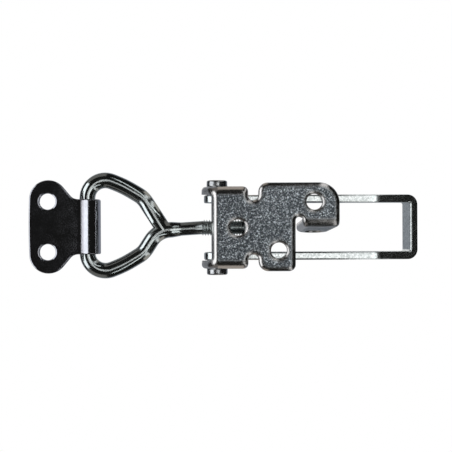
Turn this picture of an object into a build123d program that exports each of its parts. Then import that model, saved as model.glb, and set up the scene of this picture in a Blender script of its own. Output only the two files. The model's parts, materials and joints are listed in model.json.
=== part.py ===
from build123d import *
import math
import os

# Over centre toggle latch with its keeper, latched, as fixed to an upright panel.
# The panel is the plane Y = 0 and everything stands off it towards +Y.
# X runs from the keeper to the finger grip, Z is up, and the origin is the centre of
# the screw hole nearest the handle's pivot, on the mounting face. Millimetres throughout.

# Base plate, one sheet pressing
base_sheet = 3.0
bend_inside_r = 0.5
body_over_top = 4.8         # full-height part beyond the upper ear's bend line
body_over_low = 4.4         # and beyond the lower one's
base_left = -10.0            # free edge between the ears
body_left = 7.7             # edge of the full-height part, past the bend reliefs
body_right = 21.7
arm_right = 38.3
relief_width = 3.8
arm_relief_width = 2.6
arm_relief_over = 0.4       # the arm's relief reaches this far past the bend line
body_top_r = 3.5
body_low_left_r = 3.8
body_low_right_r = 2.5
arm_corner_r = 7.8
plate_edge_r = 1.5          # rolled-over edge of the pressing on its mounting side
plate_front_r = 0.3
screw_hole_d = 6.0
screw_hole_edge_r = 0.8
low_hole_x = 15.4
low_hole_z = -8.7
arm_hole_x = 28.8
arm_hole_z = 9.6

# Ears and pivot rivets
pivot_x = -7.9
ear_boss_r = 5.9
ear_foot = 3.0              # height at which the ear starts to slope back
ear_foot_r = 3.0
rivet_d = 5.0
rivet_head_d = 7.9
rivet_head_height = 2.4
rivet_head_edge_r = 0.7
rivet_tail_d = 6.6          # riveted over into a countersink inside the strip
pivot_clearance = 0.05

# Padlock staple, bent up from the arm
staple_turn = 83.6          # degrees of bend, a little short of square
staple_outer_z = 0.0        # outer face where the bend ends
staple_top_r = 6.5
staple_hole_d = 7.0
staple_hole_x = 29.5
staple_hole_height = 18.0
staple_foot_r = 12.0        # where the foot runs into the sloping sides

# Handle, one flat bar on edge bent into a U
bar_thickness = 3.0
bar_height = 10.0
bar_edge_r = 0.6
strip_gap = 18.6            # between the inner faces of the two strips
strip_to_ear = 0.3
strip_to_base = 0.5
crank_x = 50.6             # where the strips start to bend off the panel
crank_angle = 10.0
crank_r = 14.0
grip_length = 14.8          # from the crank to the outside of the closed end
grip_inside_r = 0.8

# Trunnion, the turned cross nut
trunnion_reach = 13.8       # from the handle's pivot
trunnion_d = 9.0
trunnion_end_play = 0.15
journal_d = 5.6
journal_chamfer = 0.4

# Pull rod, one round bar
rod_d = 6.0
shank_d = 5.1               # drawn down between the loop and the thread
rod_clearance = 0.05
rod_tail = 10.0             # past the trunnion's centre
rod_end_chamfer = 0.8
thread_reach = 19.6         # start of the thread to the trunnion's centre
neck_to_meeting = 5.6       # start of the narrowing to where the loop's lines meet
neck_taper = 3.5
shank_slope = 3.5           # the shank's fall from the thread to the loop
bar_to_trunnion = 63.1      # the loop's cross bar to the trunnion's centre
loop_offset = 1.0           # loop's centre line above the thread's
knee_to_bar = 21.2          # loop's knees to its cross bar
knee_half_height = 10.5
knee_to_bow = 7.3           # the bowed arms bend here, past the knees
arm_slope = 31.0            # from the knee to the bow
corner_slope = 21.5         # from the bow to the corner
throat_slope = 57.5
loop_corner_r = 6.8
bow_r = 40.0
knee_r = 9.0
junction_r = 9.0

# Keeper, one sheet pressing
keeper_sheet = 2.0
keeper_offset = 0.55        # keeper's centre line above the thread's
keeper_lobe_r = 7.2
keeper_lobe_z = 10.35       # lobe centres, each side of the middle
keeper_lobe_to_bar = 14.0   # lobe centres to the cross bar
keeper_bulge = 0.2
keeper_neck_half = 10.4
keeper_shoulder_slope = 50.0
keeper_shoulder_r = 3.7
keeper_edge_r = 0.5
keeper_hole_spacing = 19.0
keeper_hole_to_bar = 14.3
keeper_hole_d = 6.0
keeper_hole_edge_r = 0.6
keeper_rise = 15.0          # degrees the neck is bent up before it curls
keeper_rise_r = 2.0         # inside radius of that bend
keeper_ramp = 2.2           # flat stretch between that bend and the curl
curl_inside_r = 4.0
curl_turn = 175.0
hook_clearance = 0.05       # between the cross bar and the curl that holds it

# Sizes that follow from the ones above
bend_outside_r = base_sheet + bend_inside_r
pivot_height = base_sheet + strip_to_base + bar_height / 2
strip_outer = strip_gap / 2 + bar_thickness
ear_inner = strip_outer + strip_to_ear
ear_outer = ear_inner + base_sheet
ear_bend_z = ear_outer - bend_outside_r
body_top = ear_bend_z + body_over_top
body_low = -ear_bend_z - body_over_low
relief_x = body_left - relief_width / 2
ear_right = body_left - relief_width
staple_bend_z = staple_outer_z + bend_outside_r
arm_relief_x = body_right + arm_relief_width / 2
arm_relief_z = staple_bend_z + arm_relief_over - arm_relief_width / 2
staple_left = body_right + arm_relief_width
trunnion_x = pivot_x + trunnion_reach
rise = math.radians(keeper_rise)
rise_outside_r = keeper_rise_r + keeper_sheet
curl_outside_r = curl_inside_r + keeper_sheet
curl_height = keeper_ramp * math.sin(rise) + rise_outside_r
curl_height += (curl_outside_r - rise_outside_r) * math.cos(rise)
knee_reach = bar_to_trunnion - knee_to_bar
rod_slope = math.degrees(math.asin((pivot_height - curl_height) / bar_to_trunnion))
cross_bar_x = trunnion_x - bar_to_trunnion * math.cos(math.radians(rod_slope))
curl_x = cross_bar_x - (curl_inside_r - rod_d / 2) + hook_clearance
neck_run = (rise_outside_r - curl_outside_r) * math.sin(rise) + keeper_ramp * math.cos(rise)
neck_x = curl_x - neck_run

FAR = 200.0                 # longer than the whole latch, for cutters that run right through


def block(x0, x1, y0, y1):
    """Rectangle between two corners, in any order."""
    return Pos((x0 + x1) / 2, (y0 + y1) / 2) * Rectangle(abs(x1 - x0), abs(y1 - y0))


def standing(outline, height, start=0.0):
    """Solid on an outline drawn in X and Z, from start to start + height off the panel."""
    return extrude(Pos(0, start, 0) * (Plane.XZ * outline), height, dir=(0, 1, 0))


def across(profile, z0, z1):
    """Solid on a side profile drawn in X and Y, between two values of Z."""
    return extrude(Pos(0, 0, z0) * profile, z1 - z0)


def round_edges(solid, radius, wanted):
    """Fillet the edges whose middle point passes a test."""
    return fillet(solid.edges().filter_by(lambda edge: wanted(edge, edge @ 0.5)), radius)


def same(a, b):
    return abs(a - b) < 1e-4


def is_circle(radius, height):
    """Test for whole circles of one radius, lying at one height off the panel."""
    def wanted(edge, middle):
        circle = edge.geom_type == GeomType.CIRCLE and same(edge.length, 2 * math.pi * radius)
        return circle and same(middle.Y, height)
    return wanted


def screw_holes():
    """Screw hole centres in the base plate, as X and Z."""
    return [(0.0, 0.0), (low_hole_x, low_hole_z), (arm_hole_x, arm_hole_z)]


def plate_outline():
    """Flat pattern of the base plate up to its three bend lines."""
    outline = block(body_left, body_right, body_low, body_top)
    outline += block(body_left, arm_right, staple_bend_z, body_top)
    corners = [
        (body_left, body_top, body_top_r),
        (body_left, body_low, body_low_left_r),
        (body_right, body_low, body_low_right_r),
        (arm_right, body_top, arm_corner_r),
    ]
    for x, z, radius in corners:
        outline = fillet(outline.vertices().sort_by_distance((x, z, 0))[0], radius)
    outline += block(base_left, body_left + relief_width, -ear_bend_z, ear_bend_z)
    outline += block(body_right, arm_relief_x, arm_relief_z, staple_bend_z)

    for side in (1, -1):
        outline -= Pos(relief_x, side * ear_bend_z) * Circle(relief_width / 2)
    return outline - Pos(arm_relief_x, arm_relief_z) * Circle(arm_relief_width / 2)


def flat_plate():
    """Flat part of the base plate: rolled over on its mounting side, nearly sharp in front."""
    plate = standing(plate_outline(), base_sheet)
    bend_lines = (ear_bend_z, -ear_bend_z, staple_bend_z)

    def on_rim(height):
        def wanted(edge, middle):
            bend = edge.geom_type == GeomType.LINE and any(same(middle.Z, z) for z in bend_lines)
            return same(middle.Y, height) and not bend
        return wanted

    plate = round_edges(plate, plate_edge_r, on_rim(0))
    plate = round_edges(plate, plate_front_r, on_rim(base_sheet))
    for x, z in screw_holes():
        plate -= standing(Pos(x, z) * Circle(screw_hole_d / 2), base_sheet)
    plate = round_edges(plate, screw_hole_edge_r, is_circle(screw_hole_d / 2, 0))
    return round_edges(plate, plate_front_r, is_circle(screw_hole_d / 2, base_sheet))


def bend_profile(turn, leg):
    """Section of sheet that leaves the flat at x = 0: a bend of turn degrees, then a leg."""
    angle = math.radians(turn)
    along = Vector(math.cos(angle), math.sin(angle))

    def on_bend(radius, part=1.0):
        swing = angle * part
        return Vector(radius * math.sin(swing), bend_outside_r - radius * math.cos(swing))

    outer_end = on_bend(bend_outside_r)
    inner_end = on_bend(bend_inside_r)
    edges = [
        ThreePointArc((0, 0), on_bend(bend_outside_r, 0.5), outer_end),
        Polyline(outer_end, outer_end + along * leg, inner_end + along * leg, inner_end),
        ThreePointArc(inner_end, on_bend(bend_inside_r, 0.5), (0, base_sheet)),
        Line((0, base_sheet), (0, 0)),
    ]
    return make_face(edges)


def bent_leg(turn, leg, x0, x1, z0, side):
    """Bend and leg between x0 and x1 that leave the flat at z0, towards +Z or -Z by side."""
    section = Plane(origin=((x0 + x1) / 2, 0, z0), x_dir=(0, 0, side), z_dir=(-side, 0, 0))
    return extrude(section * bend_profile(turn, leg), (x1 - x0) / 2, both=True)


def round_outside(blank, face, bend_z):
    """Roll over the outer rim of a bent leg: the flange on this plane and the bend below it."""
    def wanted(edge, middle):
        rise = abs((edge @ 0).Y - (edge @ 1).Y)
        on_flange = abs((middle - face.origin).dot(face.z_dir)) < 1e-4
        from_axis = math.hypot(middle.Z - bend_z, middle.Y - bend_outside_r)
        on_bend = same(from_axis, bend_outside_r) and middle.Y < bend_outside_r
        return rise > 1e-3 and (on_flange or on_bend)
    return round_edges(blank, plate_edge_r, wanted)


def ear(side):
    """Ear bent up square, sloping from the relief up to a round boss about the pivot."""
    boss = Pos(pivot_x, pivot_height) * Circle(ear_boss_r)
    foot = Polyline((base_left, 0), (ear_right, 0), (ear_right, ear_foot), (base_left, 0))
    profile = make_hull(boss.edges() + foot.edges())
    profile = fillet(profile.vertices().sort_by_distance((ear_right, ear_foot, 0))[0], ear_foot_r)
    bend_z = side * ear_bend_z
    blank = bent_leg(90, 2 * pivot_height, -FAR, ear_right, bend_z, side) & across(profile, -FAR, FAR)
    blank = round_outside(blank, Plane(origin=(0, 0, side * ear_outer), z_dir=(0, 0, 1)), bend_z)
    return blank - across(Pos(pivot_x, pivot_height) * Circle(rivet_d / 2), -FAR, FAR)


def staple_plane():
    """Outer face of the padlock staple: x along X, y up the flange from the end of its bend."""
    turn = math.radians(staple_turn)
    foot = (0, bend_outside_r * (1 - math.cos(turn)), staple_bend_z - bend_outside_r * math.sin(turn))
    return Plane(origin=foot, x_dir=(1, 0, 0), z_dir=(0, math.cos(turn), math.sin(turn)))


def staple():
    """Padlock staple bent up from the arm, round about the shackle hole."""
    face = staple_plane()
    reach = (staple_hole_height - face.origin.Y) / face.y_dir.Y
    eye = Pos(staple_hole_x, reach) * Circle(staple_top_r)
    foot = Polyline((staple_left, 0), (arm_right, 0), (arm_right, -1), (staple_left, 0))
    outline = make_hull(eye.edges() + foot.edges())
    outline += block(staple_left, arm_right, 0, -FAR)
    for x in (staple_left, arm_right):
        outline = fillet(outline.vertices().sort_by_distance((x, 0, 0))[0], staple_foot_r)
    blank = bent_leg(staple_turn, 2 * staple_hole_height, body_right, arm_right, staple_bend_z, -1)
    blank = round_outside(blank & extrude(face * outline, FAR, both=True), face, staple_bend_z)
    return blank - extrude(face * (Pos(staple_hole_x, reach) * Circle(staple_hole_d / 2)), FAR, both=True)


def base_plate():
    return flat_plate() + ear(1) + ear(-1) + staple()


def rivet_body(grown=0.0):
    """Upper rivet inside its head, in line with the pivot and grown by a clearance."""
    radius = rivet_d / 2 + grown
    depth = (rivet_tail_d - rivet_d) / 2
    tail = Pos(0, 0, (strip_gap + depth) / 2) * Cone(radius + depth, radius, depth)
    return Pos(pivot_x, pivot_height, 0) * (tail + across(Circle(radius), strip_gap / 2, ear_outer))


def on_side(solid, side):
    """A solid drawn at the upper ear, mirrored if it is wanted at the lower one."""
    return solid if side > 0 else mirror(solid, Plane.XY)


def pivot_rivet(side):
    """Rivet through one ear and one strip."""
    disc = Pos(pivot_x, pivot_height) * Circle(rivet_head_d / 2)
    head = across(disc, ear_outer, ear_outer + rivet_head_height)
    head = round_edges(head, rivet_head_edge_r, lambda edge, middle: middle.Z > ear_outer + 1e-3)
    return on_side(head + rivet_body(), side)


def bar_section(x, z):
    """Section of the handle's bar across X, centred on a height of pivot_height."""
    section = Rectangle(bar_height, bar_thickness)
    section = fillet(section.vertices(), bar_edge_r)
    return Plane(origin=(x, pivot_height, z), x_dir=(0, 1, 0), z_dir=(1, 0, 0)) * section


def strip(side):
    """One straight strip of the handle, round ended about its pivot, and the start of its crank."""
    z = side * (strip_outer - bar_thickness / 2)
    straight = extrude(bar_section(pivot_x, z), crank_x - pivot_x)
    disc = Pos(pivot_x, pivot_height) * Circle(bar_height / 2)
    nose = across(disc, z - bar_thickness / 2, z + bar_thickness / 2)
    nose = round_edges(nose, bar_edge_r, lambda edge, middle: edge.geom_type == GeomType.CIRCLE)
    nose = split(nose, Plane(origin=(pivot_x, 0, 0), z_dir=(-1, 0, 0)))
    axis = Axis((crank_x, pivot_height + crank_r, 0), (0, 0, 1))
    crank = revolve(bar_section(crank_x, z), axis, crank_angle)
    return straight + nose + crank


def grip():
    """Closed end of the handle, drawn in line with the strips and then swung round the crank."""
    right = crank_x + grip_length
    outside = block(crank_x, right, -strip_outer, strip_outer)
    inside = block(crank_x, right - bar_thickness, -strip_gap / 2, strip_gap / 2)
    outside_r = grip_inside_r + bar_thickness
    outside = fillet(outside.vertices().group_by(Axis.X)[-1], outside_r)
    inside = fillet(inside.vertices().group_by(Axis.X)[-1], grip_inside_r)
    bar = standing(outside - inside, bar_height, pivot_height - bar_height / 2)

    def on_rim(edge, middle):
        return abs(edge.tangent_at(0.5).Y) < 0.5 and middle.X > crank_x + 1e-3

    bar = round_edges(bar, bar_edge_r, on_rim)
    axis = Axis((crank_x, pivot_height + crank_r, 0), (0, 0, 1))
    return bar.rotate(axis, crank_angle)


def handle():
    bar = strip(1) + strip(-1) + grip()
    for side in (1, -1):
        bar -= on_side(rivet_body(pivot_clearance), side)
    return bar - across(Pos(trunnion_x, pivot_height) * Circle(journal_d / 2 + pivot_clearance), -FAR, FAR)


def trunnion():
    """Turned cross nut: a barrel between the strips with a journal in each."""
    barrel_end = strip_gap / 2 - trunnion_end_play
    nut = across(Circle(trunnion_d / 2), -barrel_end, barrel_end)
    nut = chamfer(nut.edges().filter_by(GeomType.CIRCLE), journal_chamfer)
    journals = across(Circle(journal_d / 2), -strip_outer, strip_outer)
    journals = chamfer(journals.edges().filter_by(GeomType.CIRCLE), journal_chamfer)
    along = Plane(origin=(0, 0, 0), x_dir=(0, 0, 1), z_dir=(1, 0, 0))
    nut = nut + journals - extrude(along * Circle(rod_d / 2 + rod_clearance), trunnion_d, both=True)
    return nut.rotate(Axis.Z, rod_slope).translate((trunnion_x, pivot_height, 0))


def loop_side(side):
    """Corners of one side of the loop's centre line, from its cross bar to where it meets the shank."""
    throat = side * math.tan(math.radians(throat_slope))
    fall = math.tan(math.radians(shank_slope))
    knee_z = loop_offset + side * knee_half_height
    bow_rise = knee_to_bow * math.tan(math.radians(arm_slope))
    corner_rise = bow_rise + (knee_to_bar - knee_to_bow) * math.tan(math.radians(corner_slope))
    meeting_x = (knee_z - throat * knee_reach - fall * thread_reach) / (throat + fall)
    return [
        (-bar_to_trunnion, 0, loop_offset),
        (-bar_to_trunnion, 0, knee_z + side * corner_rise),
        (-knee_reach - knee_to_bow, 0, knee_z + side * bow_rise),
        (-knee_reach, 0, knee_z),
        (meeting_x, 0, fall * (meeting_x + thread_reach)),
    ]


def pull_rod():
    """One bar bent into an open loop, its end closed onto the shank, drawn along X from the trunnion."""
    bends = [loop_corner_r, bow_r, knee_r]
    thread_start = Vector(-thread_reach, 0, 0)
    meeting = Vector(loop_side(-1)[-1])
    neck = meeting + (thread_start - meeting).normalized() * neck_to_meeting
    closing = FilletPolyline(loop_side(1), radius=bends)
    running = FilletPolyline(loop_side(-1) + [neck], radius=bends + [junction_r])
    rod = sweep(Plane(closing ^ 0) * Circle(rod_d / 2), closing)
    rod += sweep(Plane(running ^ 0) * Circle(rod_d / 2), running)

    base_to_tip = (Align.CENTER, Align.CENTER, Align.MIN)
    shank_length = (thread_start - neck).length
    down_shank = Plane(origin=neck, z_dir=thread_start - neck)
    rod += down_shank * Cone(rod_d / 2, shank_d / 2, neck_taper, align=base_to_tip)
    rod += down_shank * Cylinder(shank_d / 2, shank_length + rod_end_chamfer, align=base_to_tip)
    down_thread = Plane(origin=thread_start, z_dir=(1, 0, 0))
    thread = down_thread * Cylinder(rod_d / 2, thread_reach + rod_tail, align=base_to_tip)
    rod += chamfer(thread.edges().filter_by(GeomType.CIRCLE), rod_end_chamfer)
    return rod.rotate(Axis.Z, rod_slope).translate((trunnion_x, pivot_height, 0))


def keeper_outline():
    """Keeper plate seen flat: two lobes round its screws and shoulders running in to the neck."""
    lobe_x = cross_bar_x - keeper_lobe_to_bar
    left = lobe_x - keeper_lobe_r
    slope = math.radians(keeper_shoulder_slope)
    shoulder_x = lobe_x + keeper_lobe_r * math.sin(slope)
    shoulder_z = keeper_lobe_z + keeper_lobe_r * math.cos(slope)
    upper = [
        (shoulder_x, shoulder_z),
        (shoulder_x + (shoulder_z - keeper_neck_half) / math.tan(slope), keeper_neck_half),
        (neck_x, keeper_neck_half),
    ]
    lower = [(x, -z) for x, z in reversed(upper)]
    edge = Polyline((left, keeper_lobe_z), *upper, *lower, (left, -keeper_lobe_z))
    bulge = ThreePointArc((left, keeper_lobe_z), (left - keeper_bulge, 0), (left, -keeper_lobe_z))
    outline = make_face([edge, bulge])
    for side in (1, -1):
        outline += Pos(lobe_x, side * keeper_lobe_z) * Circle(keeper_lobe_r)
    for x, z in (upper[1], lower[1]):
        outline = fillet(outline.vertices().sort_by_distance((x, z, 0))[0], keeper_shoulder_r)
    return outline


def keeper_neck():
    """Neck bent up a little and then curled back over the cross bar, with a rounded lip."""
    rising = JernArc((neck_x, keeper_sheet / 2), (1, 0), keeper_rise_r + keeper_sheet / 2, keeper_rise)
    ramp = Line(rising @ 1, rising @ 1 + (rising % 1) * keeper_ramp)
    curl = JernArc(ramp @ 1, ramp % 1, curl_inside_r + keeper_sheet / 2, curl_turn)
    path = Wire([rising.edge(), ramp.edge(), curl.edge()])
    section = fillet(Rectangle(keeper_sheet, 2 * keeper_neck_half).vertices(), keeper_edge_r)
    start = Plane(origin=path @ 0, x_dir=(0, 1, 0), z_dir=(1, 0, 0))
    neck = sweep(start * section, path)
    lip = neck.faces().sort_by_distance(path @ 1)[0]
    return fillet(lip.edges(), keeper_edge_r)


def keeper():
    """Keeper plate with two lobes for its screws and a neck that curls over the cross bar."""
    def on_rim(edge, middle):
        return abs(edge.tangent_at(0.5).Y) < 0.5 and middle.X < neck_x - 1e-3

    plate = standing(keeper_outline(), keeper_sheet)
    plate = round_edges(plate, keeper_edge_r, on_rim)
    hole_x = cross_bar_x - keeper_hole_to_bar
    for side in (1, -1):
        hole = Pos(hole_x, side * keeper_hole_spacing / 2) * Circle(keeper_hole_d / 2)
        plate -= standing(hole, keeper_sheet)
    for height in (0, keeper_sheet):
        plate = round_edges(plate, keeper_hole_edge_r, is_circle(keeper_hole_d / 2, height))
    return (plate + keeper_neck()).translate((0, 0, keeper_offset))


nodes = {
    "base_plate": base_plate(),
    "pivot_rivet_upper": pivot_rivet(1),
    "pivot_rivet_lower": pivot_rivet(-1),
    "handle": handle(),
    "trunnion": trunnion(),
    "pull_rod": pull_rod(),
    "keeper": keeper(),
}
os.makedirs("parts", exist_ok=True)
for name, solid in nodes.items():
    export_step(solid, f"parts/{name}.step")
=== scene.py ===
import bpy
import json
import math
from mathutils import Matrix, Vector


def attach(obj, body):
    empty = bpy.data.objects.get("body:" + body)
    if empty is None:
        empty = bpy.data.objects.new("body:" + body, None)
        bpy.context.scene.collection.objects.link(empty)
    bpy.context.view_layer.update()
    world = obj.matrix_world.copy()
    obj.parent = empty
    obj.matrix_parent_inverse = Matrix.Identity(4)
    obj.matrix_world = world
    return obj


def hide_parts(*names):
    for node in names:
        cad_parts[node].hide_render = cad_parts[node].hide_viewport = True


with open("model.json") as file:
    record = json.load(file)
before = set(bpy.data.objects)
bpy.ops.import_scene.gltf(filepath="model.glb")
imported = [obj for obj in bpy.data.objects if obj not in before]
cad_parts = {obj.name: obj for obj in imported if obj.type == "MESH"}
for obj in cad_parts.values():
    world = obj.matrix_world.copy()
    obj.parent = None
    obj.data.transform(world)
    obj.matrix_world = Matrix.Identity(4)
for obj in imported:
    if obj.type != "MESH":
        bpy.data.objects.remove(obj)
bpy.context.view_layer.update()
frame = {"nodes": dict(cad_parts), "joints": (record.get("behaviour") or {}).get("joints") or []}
nodes = frame["nodes"]
joints = {joint["name"]: joint for joint in frame["joints"]}
mm = 0.001


def makeActive(obj):
    for other in bpy.context.selected_objects:
        other.select_set(False)
    obj.select_set(True)
    bpy.context.view_layer.objects.active = obj


def newMaterial(name):
    mat = bpy.data.materials.new(name)
    mat.use_nodes = True
    return mat, mat.node_tree.nodes["Principled BSDF"]


def fillInputs(node, inputs):
    # an input takes a plain value, or a link from another node's output
    for key, value in inputs.items():
        if isinstance(value, bpy.types.NodeSocket):
            node.id_data.links.new(value, node.inputs[key])
        else:
            node.inputs[key].default_value = value


def addNode(tree, kind, inputs=None, **settings):
    node = tree.nodes.new(kind)
    for key, value in settings.items():
        setattr(node, key, value)
    fillInputs(node, inputs or {})
    return node


def mapRange(tree, value, limits, results=(0.0, 1.0), kind="LINEAR"):
    node = addNode(tree, "ShaderNodeMapRange", {
        "Value": value, "From Min": limits[0], "From Max": limits[1],
        "To Min": results[0], "To Max": results[1],
    }, interpolation_type=kind)
    return node.outputs["Result"]


def colourRamp(tree, factor, stops):
    # stops run from low to high, each a position and a colour
    node = addNode(tree, "ShaderNodeValToRGB", {"Fac": factor})
    elements = node.color_ramp.elements
    while len(elements) < len(stops):
        elements.new(1.0)
    for element, (position, colour) in zip(elements, stops):
        element.position = position
        element.color = (*colour, 1)
    return node.outputs["Color"]


def mixed(tree, kind, factor, first, second, blend="MIX"):
    node = addNode(tree, "ShaderNodeMix", {
        "Factor": factor, "A": first, "B": second}, data_type=kind, blend_type=blend)
    return node.outputs["Result"]


def bump(tree, height, distance, normal):
    node = addNode(tree, "ShaderNodeBump", {
        "Height": height, "Strength": 1.0, "Distance": distance, "Normal": normal})
    return node.outputs["Normal"]


# shared by all: detail and roughness of each noise, and the noise values that give a look's two ends
zincShared = {
    "tintNoise": (3.0, 0.55), "tintLimits": (0.3, 0.7), "halfLitCrystalAt": 0.7,
    "dullNoise": (4.0, 0.6), "dullLimits": (0.35, 0.65),
    "grainNoise": (1.0, 0.5), "waveNoise": (1.0, 0.4),
    "flatLimits": (0.975, 0.9995),  # how squarely a bend and a flat face the scene's Y or Z
    "edgeSamples": 8,
}


def noise(tree, place, look, kind):
    # kind is tint, dull, grain or wave
    detail, roughness = zincShared[kind + "Noise"]
    node = addNode(tree, "ShaderNodeTexNoise", {
        "Vector": place, "Scale": look[kind + "Scale"], "Detail": detail, "Roughness": roughness})
    return node.outputs["Fac"]


def slowBend(tree, place, normal, start, look):
    # shades a bend or a rolled rim as a longer one, over bendReach from start towards +X
    parts = addNode(tree, "ShaderNodeSeparateXYZ", {"Vector": place})
    rise = mapRange(tree, parts.outputs["X"], (start, start + look["bendReach"]), kind="SMOOTHSTEP")
    return bump(tree, rise, look["bendRise"], normal)


def flatFaces(tree, normal, least):
    # 1 on flats that face the scene's Y or Z, and least on rolls, bends and what faces X
    size = addNode(tree, "ShaderNodeVectorMath", {0: normal}, operation="ABSOLUTE")
    parts = addNode(tree, "ShaderNodeSeparateXYZ", {"Vector": size.outputs["Vector"]})
    largest = addNode(
        tree, "ShaderNodeMath", {0: parts.outputs["Y"], 1: parts.outputs["Z"]}, operation="MAXIMUM")
    return mapRange(tree, largest.outputs[0], zincShared["flatLimits"], (least, 1.0), "SMOOTHSTEP")


def zincFinish(name, look, bendStart=None):
    mat, shader = newMaterial(name)
    tree = mat.node_tree
    place = addNode(tree, "ShaderNodeTexCoord").outputs["Object"]
    edges = addNode(
        tree, "ShaderNodeBevel", {"Radius": look["edgeRadius"]}, samples=zincShared["edgeSamples"])
    normal = edges.outputs["Normal"]
    if bendStart is not None:
        normal = slowBend(tree, place, normal, bendStart, look)
    flat = flatFaces(tree, normal, look["bendGrain"]) if "bendGrain" in look else 1.0

    # slow drift of the plating's tint
    darkAt, lightAt = zincShared["tintLimits"]
    tint = colourRamp(tree, noise(tree, place, look, "tint"), (
        (darkAt, look["darkTint"]), (lightAt, look["lightTint"])))

    # crystals of the plating, each with a random tone that is partly painted glint and painted shade, as
    # bright as it happens to face
    crystals = addNode(tree, "ShaderNodeTexVoronoi", {"Vector": place, "Scale": look["grainScale"]})
    chance = addNode(tree, "ShaderNodeSeparateColor", {"Color": crystals.outputs["Color"]})
    crystalTonesAndGlints = colourRamp(tree, chance.outputs["Red"], (
        (0.0, look["shadedCrystalTone"]),
        (zincShared["halfLitCrystalAt"], look["halfLitCrystalTone"]),
        (1.0, look["glintingCrystalTone"])))
    colour = mixed(tree, "RGBA", flat, tint, crystalTonesAndGlints, "MULTIPLY")

    # patches a little duller than the rest
    rough = mapRange(tree, noise(tree, place, look, "dull"), zincShared["dullLimits"], look["roughness"])

    # grain of the sheet under the plating
    fine = bump(tree, noise(tree, place, look, "grain"), look["grainDepth"], normal)

    # a roll or a bend wipes out the crystals and the grain, and takes the bend tint, partly plain zinc and
    # partly a painted warm reflection
    if "bendGrain" in look:
        colour = mixed(tree, "RGBA", flat, (*look["bendTintAndPaintedReflection"], 1), colour)
        rough = mixed(tree, "FLOAT", flat, look["bendRoughness"], rough)
        fine = mixed(tree, "VECTOR", flat, normal, fine)

    # slow waviness over it all
    slow = bump(tree, noise(tree, place, look, "wave"), look["waveDepth"], fine)
    fillInputs(shader, {"Base Color": colour, "Roughness": rough, "Normal": slow, "Metallic": 1.0})
    return mat


# a scale counts features for each metre; roughness runs from the bright patches to the dull ones; the three
# crystal tones give each crystal a random tone with painted shade and painted glints, above 1 where a glint
# is painted
baseLook = {
    "darkTint": (0.52, 0.57, 0.61), "lightTint": (0.74, 0.80, 0.85), "tintScale": 260.0,
    "shadedCrystalTone": (0.07, 0.075, 0.08), "halfLitCrystalTone": (0.23, 0.235, 0.24), "glintingCrystalTone": (1.25, 1.25, 1.25),
    "roughness": (0.34, 0.46), "dullScale": 700.0, "edgeRadius": 2.4 * mm,
    "grainScale": 3100.0, "grainDepth": 0.02 * mm, "waveScale": 220.0, "waveDepth": 0.1 * mm,
    # the bend tint is the plain zinc of the rolls and bends with a painted warm reflection
    "bendTintAndPaintedReflection": (0.56, 0.54, 0.525), "bendGrain": 0.05, "bendRoughness": 0.15,
    "bendToFlat": 1.5 * mm, "bendReach": 3.3 * mm, "bendRise": 1.0 * mm,
}
handleLook = {
    "darkTint": (0.66, 0.68, 0.69), "lightTint": (0.74, 0.76, 0.76), "tintScale": 50.0,
    "shadedCrystalTone": (0.66, 0.68, 0.67), "halfLitCrystalTone": (0.94, 0.96, 0.95), "glintingCrystalTone": (1.1, 1.1, 1.1),
    "roughness": (0.12, 0.17), "dullScale": 260.0, "edgeRadius": 0.2 * mm,
    "grainScale": 1700.0, "grainDepth": 0.006 * mm, "waveScale": 120.0, "waveDepth": 0.05 * mm,
}
rodLook = {
    "darkTint": (0.50, 0.54, 0.54), "lightTint": (0.60, 0.64, 0.63), "tintScale": 90.0,
    "shadedCrystalTone": (0.8, 0.8, 0.8), "halfLitCrystalTone": (0.9, 0.9, 0.9), "glintingCrystalTone": (1.0, 1.0, 1.0),
    "roughness": (0.10, 0.17), "dullScale": 200.0, "edgeRadius": 0.2 * mm,
    "grainScale": 1800.0, "grainDepth": 0.003 * mm, "waveScale": 120.0, "waveDepth": 0.01 * mm,
}
keeperLook = {
    "darkTint": (0.50, 0.50, 0.54), "lightTint": (0.58, 0.59, 0.65), "tintScale": 40.0,
    "shadedCrystalTone": (0.9, 0.9, 0.91), "halfLitCrystalTone": (0.96, 0.96, 0.96), "glintingCrystalTone": (1.0, 1.0, 1.0),
    "roughness": (0.08, 0.13), "dullScale": 220.0, "edgeRadius": 0.2 * mm,
    "grainScale": 1500.0, "grainDepth": 0.005 * mm, "waveScale": 60.0, "waveDepth": 0.02 * mm,
    "bendToTip": 8.2 * mm, "bendReach": 2.6 * mm, "bendRise": 0.30 * mm,
}
rivetLook = {
    "darkTint": (0.42, 0.43, 0.44), "lightTint": (0.52, 0.53, 0.54), "tintScale": 200.0,
    "shadedCrystalTone": (0.7, 0.7, 0.7), "halfLitCrystalTone": (0.85, 0.85, 0.85), "glintingCrystalTone": (1.0, 1.0, 1.0),
    "roughness": (0.18, 0.28), "dullScale": 500.0, "edgeRadius": 0.9 * mm,
    "grainScale": 1600.0, "grainDepth": 0.02 * mm, "waveScale": 300.0, "waveDepth": 0.1 * mm,
}
trunnionLook = {
    "darkTint": (0.46, 0.46, 0.46), "lightTint": (0.56, 0.56, 0.56), "tintScale": 120.0,
    "shadedCrystalTone": (0.8, 0.8, 0.8), "halfLitCrystalTone": (0.9, 0.9, 0.9), "glintingCrystalTone": (1.0, 1.0, 1.0),
    "roughness": (0.18, 0.28), "dullScale": 400.0, "edgeRadius": 0.2 * mm,
    "grainScale": 1500.0, "grainDepth": 0.01 * mm, "waveScale": 200.0, "waveDepth": 0.05 * mm,
}

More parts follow.
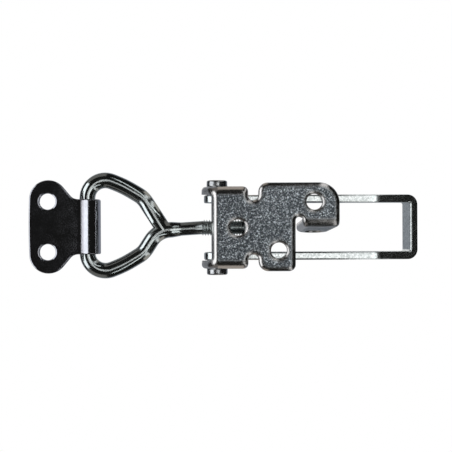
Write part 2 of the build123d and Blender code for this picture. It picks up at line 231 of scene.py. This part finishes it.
# the shaded bends are placed from the keeper's tip and from the free edge of the plate's flat back
backDepth = 0.01 * mm  # the flat back lies nearer the panel than this
keeperTip = max(vertex.co.x for vertex in nodes["keeper"].data.vertices)
baseFlat = min(vertex.co.x for vertex in nodes["base_plate"].data.vertices if vertex.co.y < backDepth)
finishes = {
    "base_plate": zincFinish("glintSpeckledZinc", baseLook, baseFlat - baseLook["bendToFlat"]),
    "handle": zincFinish("barZinc", handleLook),
    "pull_rod": zincFinish("rodZinc", rodLook),
    "keeper": zincFinish("smoothZinc", keeperLook, keeperTip - keeperLook["bendToTip"]),
    "pivot_rivet_upper": zincFinish("rivetZinc", rivetLook),
    "trunnion": zincFinish("turnedZinc", trunnionLook),
}
finishes["pivot_rivet_lower"] = finishes["pivot_rivet_upper"]
for name, finish in finishes.items():
    nodes[name].data.materials.clear()
    nodes[name].data.materials.append(finish)
print("finishes done")

rodAxis = Vector(joints["rod_adjust"]["axis"]).normalized()
nutCentre = Vector(joints["trunnion_turn"]["pos_m"])

# merge is the distance under which vertices are joined
threadLook = {
    "pitch": 1.0 * mm, "depth": 0.54 * mm, "radius": 3.0 * mm, "chamfer": 0.55 * mm,
    "start": -19.6 * mm, "end": 10.0 * mm,  # along the rod, from the middle of the cross nut
    "steps": 36, "smoothAngle": 28, "merge": 0.002 * mm,
    "leadTurns": 2,  # swept below the start and cut away
    "spare": 0.37 * mm,  # left past both ends for the bar to cut
    "barSides": 96, "barSpare": 0.05 * mm,
}

# the plain shank runs on by sink inside the thread
loopLook = {"sink": 0.4 * mm, "smoothAngle": 40, "merge": 0.0005 * mm}
cutThreshold = 0.0001 * mm  # how near the cutting plane a vertex counts as on it


def mergeAndCut(merge, place, facing):
    # clears what lies past the plane and closes the cut
    bpy.ops.mesh.select_all(action="SELECT")
    bpy.ops.mesh.remove_doubles(threshold=merge)
    bpy.ops.mesh.bisect(
        plane_co=place, plane_no=facing, clear_outer=True, use_fill=True, threshold=cutThreshold)


def faceOutward():
    bpy.ops.mesh.select_all(action="SELECT")
    bpy.ops.mesh.normals_make_consistent(inside=False)
    bpy.ops.object.mode_set(mode="OBJECT")


def screwSurface(look):
    # one pitch of the ISO outline, grown vertex by vertex and swept round the axis
    pitch, depth = look["pitch"], look["depth"]
    rootFlat = pitch / 4
    flank = pitch * 5 / 16
    crestFlat = pitch / 8
    bpy.ops.mesh.primitive_plane_add(size=pitch, location=(look["radius"] - depth, 0, 0))
    thread = bpy.context.object
    bpy.ops.object.transform_apply(location=True)
    bpy.ops.object.mode_set(mode="EDIT")
    bpy.ops.mesh.select_all(action="SELECT")
    bpy.ops.mesh.merge(type="CENTER")
    for step in ((0, 0, rootFlat), (depth, 0, flank), (0, 0, crestFlat), (-depth, 0, flank)):
        bpy.ops.mesh.extrude_vertices_move(TRANSFORM_OT_translate={"value": step})
    bpy.ops.object.mode_set(mode="OBJECT")
    sweep = thread.modifiers.new("sweep", "SCREW")
    sweep.axis = "Z"
    sweep.screw_offset = pitch
    sweep.iterations = math.ceil((look["end"] - look["start"]) / pitch) + look["leadTurns"] + 1
    sweep.steps = look["steps"]
    sweep.render_steps = look["steps"]
    bpy.ops.object.modifier_apply(modifier=sweep.name)
    return thread


def chamferedBar(look, base, length):
    bpy.ops.mesh.primitive_cylinder_add(
        vertices=look["barSides"], radius=look["radius"] + look["barSpare"], depth=length,
        location=(0, 0, base + length / 2))
    bar = bpy.context.object
    bpy.ops.object.transform_apply(location=True)
    bpy.ops.object.mode_set(mode="EDIT")
    bpy.ops.mesh.select_all(action="DESELECT")
    bpy.ops.object.mode_set(mode="OBJECT")
    for face in bar.data.polygons:
        face.select = len(face.vertices) == look["barSides"]  # the two ends
    bpy.ops.object.mode_set(mode="EDIT")
    bpy.ops.mesh.bevel(offset=look["chamfer"], segments=1, affect="EDGES")
    bpy.ops.object.mode_set(mode="OBJECT")
    return bar


def trimThread(thread, look):
    # closes the swept surface, cuts it down to the bar's outline and lays it along the rod
    length = look["end"] - look["start"]
    base = look["leadTurns"] * look["pitch"]
    bpy.ops.object.mode_set(mode="EDIT")
    for height, facing in ((base - look["spare"], -1), (base + length + look["spare"], 1)):
        mergeAndCut(look["merge"], (0, 0, height), (0, 0, facing))
    faceOutward()
    bar = chamferedBar(look, base, length)
    makeActive(thread)
    cut = thread.modifiers.new("cut", "BOOLEAN")
    cut.operation = "INTERSECT"
    cut.solver = "MANIFOLD"
    cut.object = bar
    bpy.ops.object.modifier_apply(modifier=cut.name)
    bpy.data.objects.remove(bar)
    thread.location = nutCentre + rodAxis * (look["start"] - base)
    thread.rotation_euler = rodAxis.to_track_quat("Z", "Y").to_euler()
    bpy.ops.object.transform_apply(location=True, rotation=True)


def plainRod(look):
    # the loop and shank without their plain stand-in for the thread
    rod = bpy.data.objects.new("rodLoop", nodes["pull_rod"].data.copy())
    bpy.context.scene.collection.objects.link(rod)
    makeActive(rod)
    bpy.ops.object.mode_set(mode="EDIT")
    mergeAndCut(look["merge"], nutCentre + rodAxis * (threadLook["start"] + look["sink"]), rodAxis)
    faceOutward()
    return rod


rodThread = screwSurface(threadLook)
rodThread.name = "rodThread"
trimThread(rodThread, threadLook)
rodLoop = plainRod(loopLook)
for piece, look in ((rodThread, threadLook), (rodLoop, loopLook)):
    makeActive(piece)
    bpy.ops.object.shade_smooth_by_angle(angle=math.radians(look["smoothAngle"]))
    piece.data.materials.clear()
    piece.data.materials.append(finishes["pull_rod"])
    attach(piece, "draw_rod")
    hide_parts("pull_rod")
print("thread done", len(rodThread.data.polygons))


def glowMaterial(name, shade):
    mat, shader = newMaterial(name)
    fillInputs(shader, {
        "Base Color": (0, 0, 0, 1), "Specular IOR Level": 0.0, "Roughness": 1.0,
        "Emission Color": (*shade, 1), "Emission Strength": 1.0})
    return mat


def seenDirectly(tree):
    # 1 where the camera, shiny metal or glass looks at it, and 0 where it only lights matt surfaces
    rays = addNode(tree, "ShaderNodeLightPath")
    seen = rays.outputs["Is Camera Ray"]
    for kind in ("Is Glossy Ray", "Is Transmission Ray"):
        either = addNode(tree, "ShaderNodeMath", {0: seen, 1: rays.outputs[kind]}, operation="MAXIMUM")
        seen = either.outputs[0]
    return seen


# glow is the share of plain white in the floor wherever it is seen directly
floorLook = {"drop": 1.5, "size": 12.0, "shade": (0.9, 0.9, 0.9), "roughness": 0.9, "glow": 0.88}


def floorMaterial(look):
    mat, shader = newMaterial("paleFloor")
    tree = mat.node_tree
    fillInputs(shader, {
        "Base Color": (*look["shade"], 1), "Roughness": look["roughness"], "Specular IOR Level": 0.0})
    glow = addNode(tree, "ShaderNodeEmission", {"Strength": 1.0})
    part = addNode(tree, "ShaderNodeMath", {0: seenDirectly(tree), 1: look["glow"]}, operation="MULTIPLY")
    mix = addNode(tree, "ShaderNodeMixShader", {
        "Fac": part.outputs[0], 1: shader.outputs["BSDF"], 2: glow.outputs["Emission"]})
    fillInputs(tree.nodes["Material Output"], {"Surface": mix.outputs["Shader"]})
    return mat


bpy.ops.mesh.primitive_plane_add(size=floorLook["size"], location=(0, 0, -floorLook["drop"]))
floor = bpy.context.object
floor.name = "floor"
floor.data.materials.append(floorMaterial(floorLook))


def hideFromCamera(card):
    # only reflections show it
    card.visible_camera = False
    card.visible_diffuse = False
    card.visible_shadow = False
    card.visible_transmission = False


# a dark room in front of the latch and a grey one behind; reach is the angle from the front where they meet
roomLook = {
    "radius": 1.4, "reach": 122.0, "pieces": 48,
    "front": (0.012, 0.012, 0.011), "back": (0.29, 0.31, 0.34),
}


def halfRoom(name, look, facing, shade):
    rings = look["pieces"] // 2
    bpy.ops.mesh.primitive_uv_sphere_add(segments=look["pieces"], ring_count=rings, radius=look["radius"])
    room = bpy.context.object
    room.name = name
    bpy.ops.object.mode_set(mode="EDIT")
    bpy.ops.mesh.select_all(action="SELECT")
    edge = -look["radius"] * math.cos(math.radians(look["reach"]))
    bpy.ops.mesh.bisect(plane_co=(0, edge, 0), plane_no=(0, facing, 0), clear_outer=True)
    bpy.ops.object.mode_set(mode="OBJECT")
    room.data.materials.append(glowMaterial(name + "Paint", shade))
    hideFromCamera(room)


halfRoom("frontRoom", roomLook, 1, roomLook["front"])
halfRoom("backRoom", roomLook, -1, roomLook["back"])


def reflectionCard(name, place, facing, size, shade):
    bpy.ops.mesh.primitive_plane_add(size=1.0)
    card = bpy.context.object
    card.name = name
    card.scale = (*size, 1)
    card.rotation_euler = Vector(facing).to_track_quat("Z", "Y").to_euler()
    card.location = place
    card.data.materials.append(glowMaterial(name + "Paint", shade))
    hideFromCamera(card)


# place, facing, size and shade of each card
singleCards = {
    "lampCard": ((0.1035, -0.455, 0.0), (0, 1, 0), (0.203, 0.210), (1.32, 1.32, 1.32)),
    "lampLeft": ((-0.0525, -0.455, 0.0), (0, 1, 0), (0.049, 0.210), (1.15, 1.15, 1.15)),
    "tallCard": ((0.160, -0.45, 0.0), (0, 1, 0), (0.060, 1.50), (1.75, 1.82, 1.82)),
    "leftSheet": ((-0.50, -0.30, 0.0), (1, 0, 0), (0.54, 0.80), (1.9, 1.95, 2.0)),
    "backSheet": ((0.0, 1.2, 0.30), (0, -1, -0.3), (1.4, 0.5), (0.9, 0.9, 0.9)),
}

# place of the upper card, size and shade of each pair; the lower card faces it across the latch
pairedCards = {
    "ceiling": ((-0.45, 0.10, 0.70), (0.8, 0.9), (0.20, 0.19, 0.18)),
    "warm": ((-0.0003, 0.033, 0.05), (0.0205, 0.077), (0.50, 0.46, 0.42)),
    "strip": ((0.070, -0.06, 0.11), (0.035, 0.24), (1.0, 1.0, 1.0)),
}
for name, (place, facing, size, shade) in singleCards.items():
    reflectionCard(name, place, facing, size, shade)
for side, ending in ((1, "Upper"), (-1, "Lower")):
    for name, ((x, y, z), size, shade) in pairedCards.items():
        reflectionCard(name + ending, (x, y, z * side), (0, 0, -side), size, shade)

worldLook = {"shade": (0.9, 0.9, 0.9), "strength": 0.8}


def softWorld(look):
    # plain white wherever it is seen directly, and a little dimmer as light on matt surfaces
    world = bpy.data.worlds.new("softStudio")
    world.use_nodes = True
    tree = world.node_tree
    tree.nodes.clear()
    soft = addNode(tree, "ShaderNodeBackground", {
        "Color": (*look["shade"], 1), "Strength": look["strength"]})
    white = addNode(tree, "ShaderNodeBackground", {"Color": (1, 1, 1, 1), "Strength": 1.0})
    mix = addNode(tree, "ShaderNodeMixShader", {
        "Fac": seenDirectly(tree), 1: soft.outputs["Background"], 2: white.outputs["Background"]})
    addNode(tree, "ShaderNodeOutputWorld", {"Surface": mix.outputs["Shader"]})
    return world


bpy.context.scene.world = softWorld(worldLook)
print("stage done")

cameraView = {
    "place": (-4.5 * mm, -450.0 * mm, 0.6 * mm), "fieldOfView": 21.33, "roll": 0.25,
    "sensor": 36.0, "near": 0.01, "far": 50.0,
}
cameraData = bpy.data.cameras.new("viewCamera")
camera = bpy.data.objects.new("viewCamera", cameraData)
bpy.context.scene.collection.objects.link(camera)
bpy.context.scene.camera = camera
cameraData.sensor_width = cameraView["sensor"]
cameraData.lens = cameraView["sensor"] / 2 / math.tan(math.radians(cameraView["fieldOfView"] / 2))
cameraData.clip_start = cameraView["near"]
cameraData.clip_end = cameraView["far"]
upright = Matrix.Rotation(math.radians(90), 4, "X")
turn = upright @ Matrix.Rotation(math.radians(-cameraView["roll"]), 4, "Z")
camera.matrix_world = Matrix.Translation(cameraView["place"]) @ turn
bpy.context.scene.view_settings.view_transform = "Standard"
